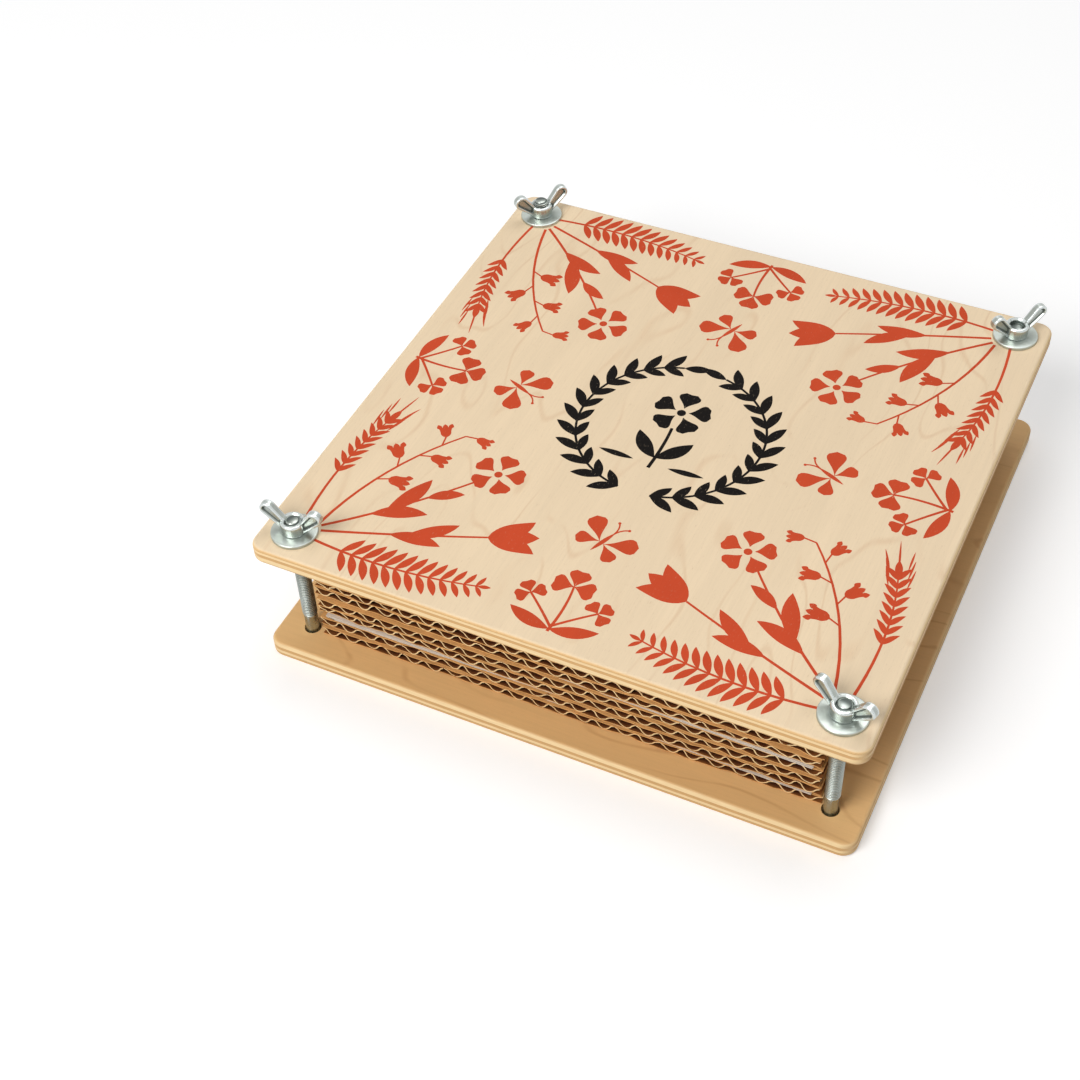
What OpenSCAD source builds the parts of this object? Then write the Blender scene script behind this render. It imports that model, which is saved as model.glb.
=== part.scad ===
// Flower press: two plywood boards clamp a stack of corrugated cards and
// blotting papers between four bolts with washers and wing nuts.
// X runs to the right along the front edge, Y to the back and Z up.
// The origin is the middle of the underside that the press stands on.

/* [Boards] */
// Side of the square boards
board_side = 200; // [180:1:240]
// Thickness of each board
board_t = 6; // [4:0.5:9]
// Radius of the boards' upright corners
board_corner_r = 5; // [3:0.5:8]
// Radius of the boards' softened arrises
arris_r = 1.2; // [0.6:0.1:1.8]

/* [Bolts] */
// Distance from a board's edge to a bolt's axis
bolt_inset = 11; // [10:0.5:14]
// Outer diameter of the thread
thread_d = 4.9; // [4.5:0.1:5.2]
// Rise of the thread in one turn
thread_pitch = 0.8; // [0.7:0.1:1]
// Depth of the thread's groove
thread_depth = 0.46; // [0.3:0.02:0.5]
// Diameter of the plain shank below the thread
shank_d = 4.4; // [4:0.1:4.5]
// Height above the underside at which the thread starts
thread_start = 13; // [9:1:17]
// Diameter of the holes through both boards
bolt_hole_d = 5.6; // [5.4:0.1:6.4]
// Diameter of the countersunk head
head_d = 9.2; // [8:0.2:10]
// Height of the straight rim under the head's cone
head_rim = 0.4; // [0.2:0.1:0.6]
// Depth of the head's face inside the board's underside
head_sink = 0.3; // [0.1:0.1:0.6]
// Width of the screwdriver slot
slot_w = 1.2; // [0.8:0.1:1.6]
// Depth of the screwdriver slot
slot_depth = 1.1; // [0.6:0.1:1.3]
// Height of the front left bolt's end over its nut
end_front_left = 0.1; // [-2:0.1:2]
// Height of the front right bolt's end over its nut
end_front_right = -0.1; // [-2:0.1:2]
// Height of the back left bolt's end over its nut
end_back_left = 1.6; // [-2:0.1:2]
// Height of the back right bolt's end over its nut
end_back_right = -1.4; // [-2:0.1:2]

/* [Washers and wing nuts] */
// Outer diameter of a washer
washer_d = 15; // [12:0.5:18]
// Diameter of a washer's hole
washer_hole_d = 5.3; // [5.3:0.1:6]
// Thickness of a washer
washer_t = 1.2; // [0.8:0.1:1.6]
// Diameter of a wing nut's hub
hub_d = 8; // [7:0.1:9]
// Height of a wing nut's hub
hub_h = 4.4; // [4:0.1:6]
// Distance from the bolt's axis to the outer edge of a wing
wing_reach = 10.4; // [9:0.1:12]
// Height of the wings over the washer
wing_rise = 9.9; // [8.5:0.1:12]
// Radius of a wing's rounded tip
wing_tip_r = 2.5; // [2:0.1:2.8]
// Radius of a wing's rounded root, inside the hub
wing_root_r = 1.75; // [1.4:0.05:1.9]
// Height of a wing's lower edge over the washer, at its root
wing_lift = 0.5; // [0.3:0.1:0.8]
// Thickness of a wing at its rim
wing_t = 2.8; // [2:0.1:3.4]
// Thickness of the thin web inside a wing's rim
wing_web_t = 1.3; // [0.8:0.1:1.6]
// Width of the raised rim round a wing's web
wing_rim = 0.9; // [0.6:0.1:1.1]
// Turn of the front left wing nut, in degrees
nut_angle_front_left = 5.5; // [0:0.5:180]
// Turn of the front right wing nut, in degrees
nut_angle_front_right = 163; // [0:0.5:180]
// Turn of the back left wing nut, in degrees
nut_angle_back_left = 49.5; // [0:0.5:180]
// Turn of the back right wing nut, in degrees
nut_angle_back_right = 47.5; // [0:0.5:180]

/* [Cards and papers] */
// Thickness of a corrugated card
card_t = 3.84; // [3:0.02:4.4]
// Thickness of a card's flat liners
liner_t = 0.35; // [0.25:0.05:0.5]
// Thickness of the fluted layer's wall
flute_wall = 0.3; // [0.2:0.05:0.4]
// Distance from one flute to the next
flute_pitch = 7.4; // [6.6:0.1:8]
// Least free space between a card's side and the thread of a bolt
card_play = 1.2; // [1.1:0.1:3]
// Distance from the bolts' centre line forward to a card's front edge
card_lead = 0.5; // [-4:0.5:2]
// Thickness of a blotting paper
paper_t = 0.45; // [0.3:0.05:0.6]
// Distance from a card's side in to the side of a paper
paper_inset = 1.6; // [1:0.1:4]

/* [Clearances] */
// Free space between a wing nut's bore and the thread
thread_play = 0.05; // [0.02:0.01:0.08]
// Free space between a bolt's head and its countersink
head_play = 0.02; // [0.02:0.01:0.1]
// Free space between one layer of the stack and the next
layer_gap = 0.02; // [0.02:0.01:0.05]

/* [Hidden] */
CORNERS = ["front_left", "front_right", "back_left", "back_right"];
CORNER_WAYS = [[-1, -1], [1, -1], [-1, 1], [1, 1]];
bolt_ends = [end_front_left, end_front_right, end_back_left, end_back_right];
nut_angles = [nut_angle_front_left, nut_angle_front_right, nut_angle_back_left, nut_angle_back_right];

// How many papers lie on each card, from the lowest card up
papers_on_card = [1, 2, 0, 2, 0, 2, 0, 1, 0];
// How far each card and paper lies turned out of square, in degrees
card_skews = [0.5, 0.25, -0.2, 0.15, -0.3, 0.2, -0.15, 0.25, -0.1];
paper_skews = [-0.55, 0.75, 0.6, -0.8, -0.65, 0.4, -0.5, 0.6];

card_count = len(papers_on_card);
paper_count = len(paper_skews);
bolt_xy = board_side / 2 - bolt_inset;

// Flat blanks of the cards and papers
flute_count = floor(2 * (bolt_xy - thread_d / 2 - card_play) / flute_pitch);
card_w = flute_count * flute_pitch;
card_d = 2 * (bolt_xy + card_lead);
paper_w = card_w - 2 * paper_inset;
paper_d = card_d;

// Heights in the stack
card_rise = card_t + layer_gap;
paper_rise = paper_t + layer_gap;
stack_bottom = board_t + layer_gap;
stack_top = stack_bottom + card_count * card_rise + paper_count * paper_rise;
lid_top = stack_top + board_t;
washer_top = lid_top + washer_t;
nut_bottom = washer_top + layer_gap;
hub_top = nut_bottom + hub_h;

// Half of the sloping wall's upright thickness, as a share of the wall's own
slope_share = 0.65;
// The fluted layer's wave, measured through the card's thickness
wave_mid = card_t / 2;
wave_half_wall = slope_share * flute_wall;
wave_height = card_t / 2 - liner_t - flute_wall / 2;
liner_reach = card_t / 2 - liner_t;
pocket_half_angle = acos((wave_half_wall - liner_reach) / wave_height);
pocket_steps = 6;

// Shares of the thread's pitch that the crest and the root take
crest_share = 0.2;
root_share = 0.15;
end_chamfer = thread_depth;
hub_chamfer = 0.4;
// Overrun of every cut, past the face that it leaves
over = 1;

$fn = 64;

function papers_below(card) = card == 0 ? 0 : papers_below(card - 1) + papers_on_card[card - 1];
function card_z(card) = stack_bottom + card * card_rise + papers_below(card) * paper_rise;
function card_under(paper, card = 0) =
    paper < papers_below(card + 1) ? card : card_under(paper, card + 1);
function paper_z(paper) =
    let (card = card_under(paper))
    card_z(card) + card_rise + (paper - papers_below(card)) * paper_rise;

module at_corner(corner) {
    translate([CORNER_WAYS[corner].x * bolt_xy, CORNER_WAYS[corner].y * bolt_xy, 0])
        children();
}

// Section across a board from its middle to its edge, with round arrises
module board_section(half_width) {
    translate([0, arris_r])
        square([half_width, board_t - 2 * arris_r]);
    square([half_width - arris_r, board_t]);
    for (z = [arris_r, board_t - arris_r])
        translate([half_width - arris_r, z])
            circle(arris_r);
}

module board_strip() {
    translate([0, board_side / 2 - board_corner_r, 0])
        rotate([90, 0, 0])
            linear_extrude(board_side - 2 * board_corner_r) {
                board_section(board_side / 2);
                mirror([1, 0])
                    board_section(board_side / 2);
            }
}

module board_blank() {
    board_strip();
    rotate([0, 0, 90])
        board_strip();
    for (way = CORNER_WAYS)
        translate(way * (board_side / 2 - board_corner_r))
            rotate_extrude()
                board_section(board_corner_r);
}

module bottom_board() {
    color("#c79c66")
        difference() {
            board_blank();
            for (corner = [0 : len(CORNERS) - 1])
                at_corner(corner) {
                    translate([0, 0, -over])
                        cylinder(d = bolt_hole_d, h = board_t + 2 * over);
                    countersink();
                }
        }
}

// Room for a bolt's head: the head's own outline and the free space round it
module countersink() {
    seat_r = head_d / 2 + head_play;
    seat_top = head_sink + head_rim + head_play;
    rotate_extrude()
        polygon([
            [0, -over],
            [seat_r, -over],
            [seat_r, seat_top],
            [0, seat_top + seat_r]
        ]);
}

module top_board() {
    color("#ecd6b4")
        translate([0, 0, stack_top])
            difference() {
                board_blank();
                for (corner = [0 : len(CORNERS) - 1])
                    at_corner(corner)
                        translate([0, 0, -over])
                            cylinder(d = bolt_hole_d, h = board_t + 2 * over);
            }
}

// Countersunk slotted bolt, from its head's face up to its end
module bolt(corner) {
    bolt_end = hub_top + bolt_ends[corner];
    cone_top = head_sink + head_rim + (head_d - shank_d) / 2;
    crest_r = thread_d / 2;
    root_r = crest_r - thread_depth;
    thread_length = bolt_end - end_chamfer - thread_start;
    turns = floor(thread_length / thread_pitch);
    first_turn = bolt_end - end_chamfer - turns * thread_pitch;
    color("#c6ccd2")
        at_corner(corner)
            difference() {
                rotate_extrude()
                    polygon(concat(
                        [
                            [0, head_sink],
                            [head_d / 2, head_sink],
                            [head_d / 2, head_sink + head_rim],
                            [shank_d / 2, cone_top],
                            [shank_d / 2, first_turn - thread_pitch / 2]
                        ],
                        [
                            for (turn = [0 : turns - 1])
                                each thread_turn(first_turn + turn * thread_pitch, crest_r, root_r)
                        ],
                        [
                            [crest_r, bolt_end - end_chamfer],
                            [root_r, bolt_end],
                            [0, bolt_end]
                        ]
                    ));
                translate([-head_d, -slot_w / 2, head_sink - over])
                    cube([2 * head_d, slot_w, slot_depth + over]);
            }
}

// Points of one turn of the thread, drawn as a ring
function thread_turn(z, crest_r, root_r) = [
    [crest_r, z],
    [crest_r, z + crest_share * thread_pitch],
    [root_r, z + (1 + crest_share - root_share) / 2 * thread_pitch],
    [root_r, z + (1 + crest_share + root_share) / 2 * thread_pitch]
];

module washer(corner) {
    color("#cdd2d6")
        at_corner(corner)
            translate([0, 0, lid_top])
                difference() {
                    cylinder(d = washer_d, h = washer_t);
                    translate([0, 0, -over])
                        cylinder(d = washer_hole_d, h = washer_t + 2 * over);
                }
}

module wing_nut(corner) {
    color("#c3c8c6")
        at_corner(corner)
            translate([0, 0, nut_bottom])
                rotate([0, 0, nut_angles[corner]])
                    difference() {
                        union() {
                            hub();
                            for (side = [0, 180])
                                rotate([0, 0, side])
                                    wing();
                        }
                        translate([0, 0, -over])
                            cylinder(d = thread_d + 2 * thread_play, h = hub_h + 2 * over);
                    }
}

module hub() {
    rotate_extrude()
        polygon([
            [0, 0],
            [hub_d / 2, 0],
            [hub_d / 2, hub_h - hub_chamfer],
            [hub_d / 2 - hub_chamfer, hub_h],
            [0, hub_h]
        ]);
}

// One wing with a thin web inside its raised rim
module wing() {
    pocket_depth = (wing_t - wing_web_t) / 2;
    difference() {
        rotate([90, 0, 0])
            linear_extrude(wing_t, center = true)
                wing_outline(0);
        for (side = [-1, 1])
            translate([0, side * (wing_web_t / 2 + pocket_depth), 0])
                rotate([90, 0, 0])
                    linear_extrude(2 * pocket_depth, center = true)
                        wing_outline(wing_rim);
    }
}

// Two circles and the straight edges that touch both, drawn in by the inset
module wing_outline(inset) {
    root = [hub_d / 2 - wing_root_r / 2, wing_lift + wing_root_r];
    tip = [wing_reach - wing_tip_r, wing_rise - wing_tip_r];
    root_r = wing_root_r - inset;
    tip_r = wing_tip_r - inset;
    line = tip - root;
    lean = atan2(line.y, line.x);
    touch = acos((root_r - tip_r) / norm(line));
    low = [cos(lean - touch), sin(lean - touch)];
    high = [cos(lean + touch), sin(lean + touch)];
    translate(root)
        circle(root_r);
    translate(tip)
        circle(tip_r);
    polygon([
        root + root_r * low,
        tip + tip_r * low,
        tip + tip_r * high,
        root + root_r * high
    ]);
}

module corrugated_card(card) {
    color("#c9a26a")
        translate([0, 0, card_z(card)])
            rotate([0, 0, card_skews[card]])
                translate([0, card_d / 2, 0])
                    rotate([90, 0, 0])
                        linear_extrude(card_d)
                            card_section();
}

// End of a card: two liners with a wavy layer between them
module card_section() {
    difference() {
        translate([-card_w / 2, 0])
            square([card_w, card_t]);
        for (flute = [0 : flute_count - 1])
            translate([-card_w / 2 + (flute + 0.5) * flute_pitch, wave_mid])
                pocket_above_wave();
        for (flute = [1 : flute_count - 1])
            translate([-card_w / 2 + flute * flute_pitch, wave_mid])
                mirror([0, 1])
                    pocket_above_wave();
        // The cut edges leave half a pocket open at each side
        for (side = [-1, 1])
            translate([side * card_w / 2, wave_mid])
                mirror([0, 1])
                    pocket_above_wave();
    }
}

// Hollow between one trough of the wave and the liner over it
module pocket_above_wave() {
    polygon([
        for (step = [-pocket_steps : pocket_steps])
            let (angle = step / pocket_steps * pocket_half_angle)
            [
                angle / 360 * flute_pitch,
                wave_half_wall - wave_height * cos(angle)
            ]
    ]);
}

module blotting_paper(paper) {
    color("#e4dbd0")
        translate([0, 0, paper_z(paper)])
            rotate([0, 0, paper_skews[paper]])
                translate([-paper_w / 2, -paper_d / 2, 0])
                    cube([paper_w, paper_d, paper_t]);
}

bottom_board();
top_board();
for (i = [0 : len(CORNERS) - 1]) {
    bolt(i);
    washer(i);
    wing_nut(i);
}
for (i = [0 : card_count - 1])
    corrugated_card(i);
for (i = [0 : paper_count - 1])
    blotting_paper(i);
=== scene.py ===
"""Looks of a flower press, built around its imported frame.

Two plywood boards clamp corrugated cards and blotting papers between four bolts
with washers and wing nuts. X runs to the right, Y to the back and Z up, in metres.
"""
import math
from random import Random

import bmesh
import bpy
from bmesh.types import BMEdge, BMFace, BMVert
from bpy.props import FloatProperty, FloatVectorProperty, PointerProperty
from mathutils import Matrix, Vector, noise


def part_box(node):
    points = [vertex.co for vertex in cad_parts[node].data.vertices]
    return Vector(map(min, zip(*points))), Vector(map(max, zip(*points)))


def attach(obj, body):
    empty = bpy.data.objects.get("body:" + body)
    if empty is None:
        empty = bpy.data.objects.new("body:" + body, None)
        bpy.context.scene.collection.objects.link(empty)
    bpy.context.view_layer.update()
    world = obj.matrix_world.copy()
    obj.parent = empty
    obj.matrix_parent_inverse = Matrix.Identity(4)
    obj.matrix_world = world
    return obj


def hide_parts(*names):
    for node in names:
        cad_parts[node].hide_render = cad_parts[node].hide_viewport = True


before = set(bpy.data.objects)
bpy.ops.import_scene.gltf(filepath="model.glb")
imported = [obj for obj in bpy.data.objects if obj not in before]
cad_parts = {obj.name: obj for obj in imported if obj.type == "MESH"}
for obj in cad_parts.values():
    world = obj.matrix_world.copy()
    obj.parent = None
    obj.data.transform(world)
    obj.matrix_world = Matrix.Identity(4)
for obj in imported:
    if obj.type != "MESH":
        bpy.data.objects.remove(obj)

bl_info = {
    "name": "Flower press",
    "version": (1, 0, 0),
    "blender": (4, 5, 0),
    "location": "View3D > Sidebar > Flower press",
    "description": "Builds a plywood flower press with cards, papers and wing nuts",
    "category": "Object",
}

MM = 0.001
UP = Vector((0, 0, 1))

# The corners with a bolt, and the turn of the wing nut there in degrees
CORNERS = {
    "front_left": 5.5,
    "front_right": 163.0,
    "back_left": 49.5,
    "back_right": 47.5,
}

# How far the cards and papers lie out of square, from the lowest up, in degrees
CARD_SKEWS = (0.5, 0.25, -0.2, 0.15, -0.3, 0.2, -0.15, 0.25, -0.1)
PAPER_SKEWS = (-0.55, 0.75, 0.6, -0.8, -0.65, 0.4, -0.5, 0.6)

# Where a card's front end is crushed: middle and half width along X in mm, and how much
CARD_DENTS = {
    1: ((-38, 5, 0.35), (22, 4, 0.4), (58, 5, 0.3)),
    2: ((-60, 4, 0.3), (-4, 5, 0.35), (66, 5, 0.45)),
    3: ((-80, 9, 0.75), (-60, 10, 0.6), (-44, 6, 0.45), (52, 5, 0.5)),
    4: ((-72, 5, 0.35), (-20, 5, 0.3), (34, 6, 0.4)),
    5: ((38, 16, 0.35), (62, 18, 0.5), (80, 8, 0.35)),
    6: ((-79, 9, 0.9), (-58, 7, 0.45), (30, 6, 0.4), (74, 6, 0.65)),
    7: ((-50, 6, 0.4), (44, 7, 0.5)),
    8: ((-12, 6, 0.4), (70, 6, 0.5)),
    9: ((-66, 6, 0.5), (14, 7, 0.4)),
}

# Radii and lengths in which the finer pieces keep to the frame
THREAD_RADIUS = 2.45 * MM
HEAD_RADIUS = 4.6 * MM
NUT_BORE = 2.5 * MM
WASHER_BORE, WASHER_RADIUS = 2.65 * MM, 7.5 * MM
CARD_WIDTH, CARD_DEPTH = 170.2 * MM, 179 * MM
PAPER_WIDTH, PAPER_DEPTH = 167 * MM, 177.2 * MM
LID_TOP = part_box("top_board")[1].z

# In mm: how deep the ink goes into the board, and where the motifs of a side start
PRINT_DEPTH = 0.03
PRINT_REACH = 88


def paint(red, green, blue):
    """Linear colour of an eight-bit screen colour."""
    shares = (channel / 255 for channel in (red, green, blue))
    linear = (
        share / 12.92 if share <= 0.04045 else ((share + 0.055) / 1.055) ** 2.4
        for share in shares
    )
    return (*linear, 1.0)


# Tints that belong to one finish only
GRAIN_LINE = paint(190, 132, 80)
PORE = paint(150, 104, 62)
CUT_PORE = paint(122, 80, 44)
GLUE = paint(140, 92, 52)
ZINC_BLOOM = paint(200, 210, 216)
# Painted shade for the hollows of the zinc, and a painted highlight for its proud spots
HOLLOW_SHADE = paint(54, 64, 62)
PROUD_HIGHLIGHT = paint(226, 232, 232)
CARD_FLECK = paint(120, 80, 48)
# Painted shade deep inside the flutes
FLUTE_SHADE = paint(74, 31, 9)


def colour(name, description, red, green, blue):
    """A colour property of the panel, from a screen colour."""
    return FloatVectorProperty(
        name=name,
        description=description,
        subtype="COLOR",
        size=4,
        min=0,
        max=1,
        default=paint(red, green, blue),
    )


def length(name, description, millimetres, least, most):
    """A length property of the panel, from lengths in mm."""
    return FloatProperty(
        name=name,
        description=description,
        default=millimetres * MM,
        min=least * MM,
        max=most * MM,
        precision=5,
        subtype="DISTANCE",
        unit="LENGTH",
    )


class PressSizes(bpy.types.PropertyGroup):
    """Sizes of the pieces that are modelled round the frame."""

    thread_pitch: length("Thread pitch", "Rise of the thread in one turn", 0.8, 0.5, 1.2)
    thread_depth: length("Thread depth", "Depth of the thread's groove", 0.46, 0.1, 0.6)
    thread_start: length("Thread start", "Height at which the thread starts", 13, 8, 20)
    shank: length("Shank radius", "Radius of the plain shank under the thread", 2.2, 1, 2.4)
    slot_width: length("Slot width", "Width of the screwdriver slot", 1.2, 0.5, 2)
    slot_depth: length("Slot depth", "Depth of the screwdriver slot", 1.1, 0.5, 1.5)
    washer_rounding: length("Washer rounding", "Radius of a washer's upper rim", 0.4, 0.1, 0.6)
    hub: length("Hub radius", "Radius of a wing nut's hub", 4, 3.4, 4.5)
    hub_height: length("Hub height", "Height of a wing nut's hub", 4.4, 3, 6)
    wing_thickness: length("Wing thickness", "Thickness of a wing at its rim", 2.7, 2, 2.8)
    web_thickness: length("Web thickness", "Thickness of the web in a wing", 1.1, 0.6, 2)
    wing_rim: length("Wing rim", "Width of the raised rim of a wing", 0.85, 0.4, 1.2)
    flute_pitch: length("Flute pitch", "Distance from one flute to the next", 7.4, 5, 9)
    liner: length("Liner thickness", "Thickness of a card's flat layers", 0.32, 0.1, 0.5)
    flute_wall: length("Flute wall", "Thickness of a card's wavy layer", 0.42, 0.1, 0.5)
    ragged_cut: length("Ragged cut", "How far a card's cut ends stray", 0.3, 0, 1)
    paper: length("Paper thickness", "Thickness of a blotting paper", 0.3, 0.2, 0.45)
    ink: length("Ink thickness", "Thickness of the printed ink", 0.04, 0.01, 0.1)


class PressColours(bpy.types.PropertyGroup):
    """Colours of the press and of the floor under it."""

    top_veneer: colour("Top veneer", "Pale face of the top board", 241, 217, 182)
    bottom_veneer: colour("Bottom veneer", "Honey face of the bottom board", 235, 190, 130)
    light_ply: colour("Light ply", "Plies cut along their grain", 254, 224, 172)
    dark_ply: colour("Dark ply", "Plies cut across their grain", 222, 174, 114)
    red_ink: colour("Red ink", "Printed border", 205, 78, 46)
    black_ink: colour("Black ink", "Printed wreath", 14, 10, 8)
    zinc: colour("Zinc", "Bright zinc plate", 180, 186, 179)
    card_face: colour("Card face", "Outside of the cardboard", 212, 160, 100)
    card_cut: colour("Card cut", "Cut ends of the wavy layers", 250, 214, 160)
    liner_cut: colour("Liner cut", "Cut ends of the flat layers", 230, 172, 106)
    # Darker than the face, partly the paper's own colour and partly painted shade for the inside
    # of the cards
    flute: colour("Flute", "Wavy layer of the cardboard", 156, 96, 46)
    paper: colour("Paper", "Blotting paper", 216, 204, 190)
    floor: colour("Floor", "Floor under the press", 238, 238, 238)


class Signal:
    """A number that varies over a surface, with the operators of a Python number."""

    def __init__(self, finish, socket):
        self.finish = finish
        self.socket = socket

    def _math(self, operation, *values):
        node = self.finish.node(
            "ShaderNodeMath", {"operation": operation}, dict(enumerate(values))
        )
        return Signal(self.finish, node.outputs[0])

    def __add__(self, other):
        return self._math("ADD", self, other)

    __radd__ = __add__

    def __sub__(self, other):
        return self._math("SUBTRACT", self, other)

    def __rsub__(self, other):
        return self._math("SUBTRACT", other, self)

    def __mul__(self, other):
        return self._math("MULTIPLY", self, other)

    __rmul__ = __mul__

    def __abs__(self):
        return self._math("ABSOLUTE", self)

    def sine(self):
        return self._math("SINE", self)

    def fraction(self):
        return self._math("FRACT", self)

    def largest(self, other):
        return self._math("MAXIMUM", self, other)

    def rise(self, low, high):
        """0 below low, 1 above high and smooth in between; low may be the larger."""
        node = self.finish.node(
            "ShaderNodeMapRange",
            {"interpolation_type": "SMOOTHSTEP"},
            {"Value": self, "From Min": low, "From Max": high},
        )
        return Signal(self.finish, node.outputs["Result"])

    def near(self, middle, reach):
        """1 at the middle, falling smoothly to 0 at the reach on both sides."""
        return abs(self - middle).rise(reach, 0.0)


def feed(tree, socket, value):
    """Links a signal or an output to a socket, or sets the socket to a plain value."""
    if isinstance(value, Signal):
        value = value.socket
    if isinstance(value, bpy.types.NodeSocket):
        tree.links.new(value, socket)
    elif socket.type == "VECTOR" and not hasattr(value, "__len__"):
        socket.default_value = (value, value, value)
    else:
        socket.default_value = value


def add_node(tree, kind, settings=(), sockets=()):
    """Adds a node: its settings first, then values or links for its sockets."""
    made = tree.nodes.new(kind)
    for name, value in dict(settings).items():
        setattr(made, name, value)
    for key, value in dict(sockets).items():
        feed(tree, made.inputs[key], value)
    return made


class Finish:
    """One procedural material. Its patterns read the object's own place in mm."""

    def __init__(self, name, **constants):
        self.material = bpy.data.materials.new(name)
        self.material.use_nodes = True
        self.tree = self.material.node_tree
        self.shader = self.tree.nodes["Principled BSDF"]
        for socket, value in constants.items():
            self.feed(socket.replace("_", " "), value)
        self.place = self.node("ShaderNodeTexCoord")
        self.mm = self.vector("SCALE", self.place.outputs["Object"], Scale=1 / MM)
        self.x, self.y, self.z = self.parts(self.mm)

    def feed(self, socket, value):
        """Feeds one of the shader's own sockets."""
        feed(self.tree, self.shader.inputs[socket], value)

    def node(self, kind, settings=(), sockets=()):
        return add_node(self.tree, kind, settings, sockets)

    def attribute(self, name):
        """A number that the mesh carries on its points."""
        node = self.node("ShaderNodeAttribute", {"attribute_name": name})
        return Signal(self, node.outputs["Fac"])

    def vector(self, operation, *vectors, **named):
        sockets = dict(enumerate(vectors))
        sockets.update(named)
        node = self.node("ShaderNodeVectorMath", {"operation": operation}, sockets)
        return node.outputs["Vector"]

    def parts(self, vector):
        node = self.node("ShaderNodeSeparateXYZ", sockets={"Vector": vector})
        return [Signal(self, node.outputs[axis]) for axis in "XYZ"]

    def normal(self):
        """Size of the surface normal along X, Y and Z."""
        return [abs(part) for part in self.parts(self.place.outputs["Normal"])]

    def grain(self, per_mm, detail=2.0, rough=0.5, shift=(0, 0, 0)):
        """Noise from 0 to 1, with its own number of spots per mm along each axis."""
        placed = self.vector("ADD", self.mm, shift)
        node = self.node(
            "ShaderNodeTexNoise",
            sockets={
                "Vector": self.vector("MULTIPLY", placed, per_mm),
                "Scale": 1.0,
                "Detail": detail,
                "Roughness": rough,
            },
        )
        return Signal(self, node.outputs[0])

    def mix(self, share, under, over):
        """A colour from under at share 0 to over at share 1."""
        node = self.node("ShaderNodeMix", {"data_type": "RGBA"}, {0: share, 6: under, 7: over})
        return node.outputs[2]

    def coats(self, base, *coats):
        """The base under coats of other tints, each with its share over the surface."""
        for share, tint in coats:
            base = self.mix(share, base, tint)
        return base

    def mottled(self, cloud, tint, darker, lighter):
        """The tint, darker and lighter by shares where the cloud is thin and thick."""
        return self.mix(cloud.rise(0.3, 0.7), shade(tint, darker), shade(tint, lighter))

    def bump(self, height_mm, strength):
        node = self.node(
            "ShaderNodeBump",
            sockets={"Height": height_mm, "Distance": MM, "Strength": strength},
        )
        self.feed("Normal", node.outputs["Normal"])

    def wear(self, base, rough):
        self.feed("Base Color", base)
        self.feed("Roughness", rough)
        return self.material


def shade(tint, share):
    """The tint made darker or lighter by a share."""
    return (*(min(1.0, channel * share) for channel in tint[:3]), 1.0)


def plywood(name, tints, foot, veneer, glue_lines, along_x, streaks, figured):
    """Birch plywood: a face with fine grain and edges that show the crossed plies.

    The glue lines are heights in mm over the foot of the board. The grain runs along X
    or Y, streaks picks its place in the noise, and figured is how dark its rings are.
    """
    wood = Finish(name, Specular_IOR_Level=0.35)
    fine, dash, broad, bend = (
        (along, across, across) if along_x else (across, along, across)
        for along, across in ((0.05, 1.6), (0.55, 7.0), (0.012, 0.09), (0.011, 0.03))
    )

    fibre = wood.grain(fine, detail=4, rough=0.6)
    cloud = wood.grain(broad, detail=3, rough=0.55, shift=(31, 7, 0))
    pores = wood.grain(dash, detail=1).rise(0.66, 0.78)
    rings = wood.grain(bend, detail=1.5, rough=0.45, shift=(streaks, 19, 0)) * 9.0
    ring = rings.fraction().near(0.5, 0.1)
    bands = wood.grain(bend, detail=2, shift=(streaks, 19, 0)).rise(0.35, 0.65)

    face = wood.coats(
        wood.mottled(cloud, veneer, 0.97, 1.03),
        (bands * 0.15, shade(veneer, 0.93)),
        (fibre.rise(0.3, 0.75) * 0.28, shade(veneer, 0.84)),
        (ring * cloud.rise(0.35, 0.6) * figured, GRAIN_LINE),
        (pores * 0.2, PORE),
    )

    height = wood.z - foot / MM + (wood.grain((0.06, 0.06, 0.0)) - 0.5) * 0.16
    edges = [height.rise(line - 0.09, line + 0.09) for line in glue_lines]
    crossed = edges[0] - edges[1] + edges[2] - edges[3]
    nx, ny, nz = wood.normal()
    ends, sides = (nx, ny) if along_x else (ny, nx)
    end_grain = ends * ends * (1 - crossed) + sides * sides * crossed
    light, dark = tints
    streak = wood.grain((0.12, 0.12, 3.2), detail=3, rough=0.6)
    dots = wood.grain((3.4, 3.4, 3.4), detail=2).rise(0.55, 0.72)
    ply = wood.coats(
        wood.mix(end_grain, light, dark),
        (streak.rise(0.35, 0.8) * 0.35, shade(dark, 0.86)),
        (dots * end_grain * 0.3, CUT_PORE),
        *((height.near(line, 0.1) * 0.25, GLUE) for line in glue_lines),
    )
    flat = nz.rise(0.62, 0.97)
    wood.bump((fibre * 0.012 - pores * 0.01) * flat + (streak * 0.03) * (1 - flat), 0.8)
    rough = 0.46 + fibre * 0.1 + (1 - flat) * 0.12
    return wood.wear(wood.mix(flat, ply, face), rough)


def printed_ink(name, tint, pore_tint):
    """Thin ink that lets the wood's pores and fibres show through."""
    ink = Finish(name, Specular_IOR_Level=0.06)
    fibre = ink.grain((1.6, 0.05, 1.6), detail=4, rough=0.6)
    pores = ink.grain((7.0, 0.55, 7.0), detail=1).rise(0.69, 0.8)
    cloud = ink.grain((0.06, 0.03, 0.06), detail=2)
    coat = ink.coats(
        ink.mottled(cloud, tint, 0.96, 1.05),
        (fibre.rise(0.35, 0.8) * 0.22, shade(tint, 1.22)),
        (pores * 0.45, pore_tint),
    )
    ink.bump(fibre * 0.008 - pores * 0.01, 0.7)
    return ink.wear(coat, 0.5 + fibre * 0.14)


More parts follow.
